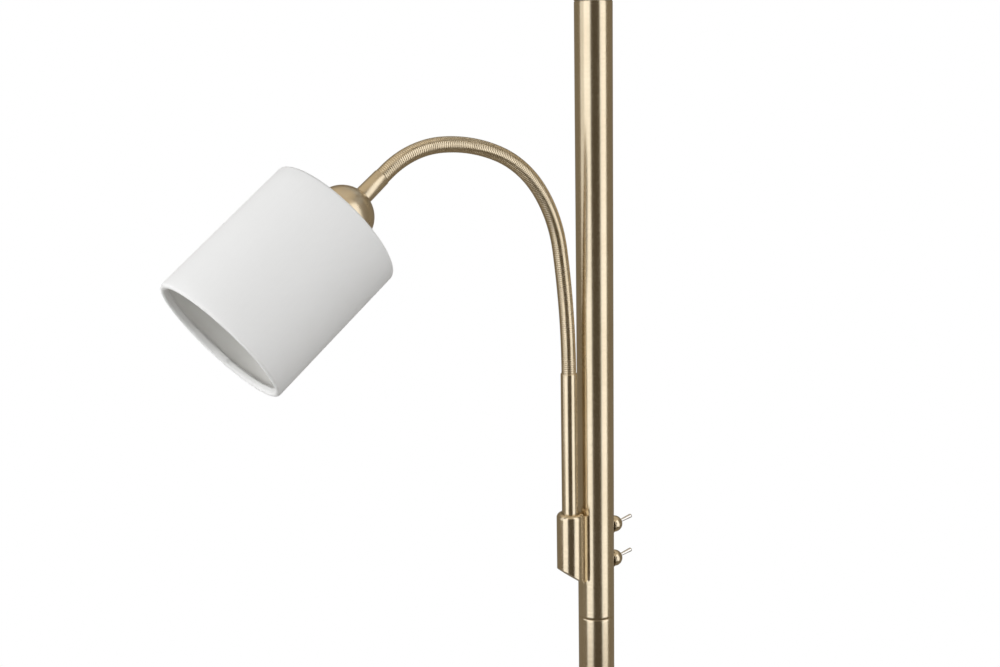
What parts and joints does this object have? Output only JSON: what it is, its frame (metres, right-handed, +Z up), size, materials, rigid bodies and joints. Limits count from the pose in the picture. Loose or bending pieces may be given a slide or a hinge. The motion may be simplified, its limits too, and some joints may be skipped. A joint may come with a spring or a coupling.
{
  "type": "floor lamp",
  "caption": "Floor lamp: straight brass pole on a round weighted base, drum shade on top, and a bendable gooseneck reading arm with a small drum shade; toggle switches on the pole.",
  "frame": {"origin": "centre of the base's underside, on the floor", "axes": "+Z up along the pole; the reading arm bends in the XZ plane on the -X side; the switches are on the +X side"},
  "size_m": [0.5108, 0.36, 1.76],
  "materials": {
    "satin_brass": "satin brushed brass plating, clear lacquered",
    "zinc_plated_steel": "bright zinc plated steel",
    "nickel_cap": "nickel plated lamp cap",
    "opal_glass": "opal white glass",
    "chrome_lever": "polished chrome",
    "black_phenolic": "moulded phenolic, low gloss",
    "white_shade_fabric": "plain woven white fabric on a stiff backing",
    "white_wire": "white powder coat",
    "lead_sheath": "flexible insulated lead",
    "black_felt": "pressed felt",
    "cast_iron_weight": "rough casting"
  },
  "bodies": {
    "stand": {"arm_bracket": "satin_brass", "arm_grub_screw": "zinc_plated_steel", "arm_lead": "lead_sheath", "arm_nipple": "zinc_plated_steel", "arm_nipple_nut": "zinc_plated_steel", "arm_tube": "satin_brass", "base_cover": "satin_brass", "base_pad": "black_felt", "base_tie_nut": "zinc_plated_steel", "base_tie_tube": "zinc_plated_steel", "base_weight": "cast_iron_weight", "cable_gland": "black_phenolic", "foot_coupler": "zinc_plated_steel", "gooseneck_1": "satin_brass", "lower_coupler": "zinc_plated_steel", "pole_foot_collar": "satin_brass", "pole_lower_tube": "satin_brass", "pole_middle_tube": "satin_brass", "pole_top_sleeve": "satin_brass", "pole_upper_tube": "satin_brass", "supply_lead": "lead_sheath", "switch_ball_nut_lower": "satin_brass", "switch_ball_nut_upper": "satin_brass", "switch_body_lower": "black_phenolic", "switch_body_upper": "black_phenolic", "switch_washer_lower": "satin_brass", "switch_washer_upper": "satin_brass", "top_bulb_cap": "nickel_cap", "top_bulb_glass": "opal_glass", "top_coupler": "zinc_plated_steel", "top_holder_cup": "satin_brass", "top_lampholder": "black_phenolic", "top_light_lead": "lead_sheath", "top_nipple": "zinc_plated_steel", "top_nipple_nut": "zinc_plated_steel", "top_reducer": "satin_brass", "top_shade": "white_shade_fabric", "top_shade_carrier": "white_wire", "top_shade_hoop": "white_wire", "top_shade_lower_nut": "black_phenolic", "top_shade_upper_nut": "black_phenolic", "upper_coupler": "zinc_plated_steel"},
    "neck_2": {"gooseneck_2": "satin_brass"},
    "neck_3": {"gooseneck_3": "satin_brass"},
    "neck_4": {"gooseneck_4": "satin_brass"},
    "neck_5": {"gooseneck_5": "satin_brass"},
    "reading_head": {"gooseneck_6": "satin_brass", "gooseneck_ferrule": "satin_brass", "holder_dome": "satin_brass", "reading_holder_nut": "zinc_plated_steel", "reading_nipple": "zinc_plated_steel", "reading_lampholder": "black_phenolic", "reading_shade_nut": "black_phenolic", "reading_shade": "white_shade_fabric", "reading_shade_carrier": "white_wire", "reading_shade_hoop": "white_wire", "reading_bulb_cap": "nickel_cap", "reading_bulb_glass": "opal_glass"},
    "upper_toggle": {"switch_lever_upper": "chrome_lever"},
    "lower_toggle": {"switch_lever_lower": "chrome_lever"}
  },
  "joints": [
    {"name": "neck_bend_low", "type": "hinge", "parent": "stand", "child": "neck_2", "pos_m": [-0.02709, 0, 1.22015], "axis": [0, -1, 0], "range_deg": [-13, 25]},
    {"name": "neck_lean_low", "type": "hinge", "parent": "neck_2", "child": "neck_3", "pos_m": [-0.03249, 0, 1.26683], "axis": [-0.9877, 0, -0.1564], "range_deg": [-25, 25]},
    {"name": "neck_bend_mid", "type": "hinge", "parent": "neck_3", "child": "neck_4", "pos_m": [-0.04965, 0, 1.31017], "axis": [0, -1, 0], "range_deg": [-25, 20]},
    {"name": "neck_lean_high", "type": "hinge", "parent": "neck_4", "child": "neck_5", "pos_m": [-0.08596, 0, 1.33895], "axis": [-0.3584, 0, -0.9336], "range_deg": [-25, 25]},
    {"name": "neck_bend_tip", "type": "hinge", "parent": "neck_5", "child": "reading_head", "pos_m": [-0.13196, 0, 1.34698], "axis": [0, -1, 0], "range_deg": [-25, 20]},
    {"name": "upper_switch_throw", "type": "hinge", "parent": "stand", "child": "upper_toggle", "pos_m": [0.0195, 0, 1.0458], "axis": [0, 1, 0], "range_deg": [0, 22]},
    {"name": "lower_switch_throw", "type": "hinge", "parent": "stand", "child": "lower_toggle", "pos_m": [0.0195, 0, 1.0176], "axis": [0, 1, 0], "range_deg": [0, 22]}
  ]
}
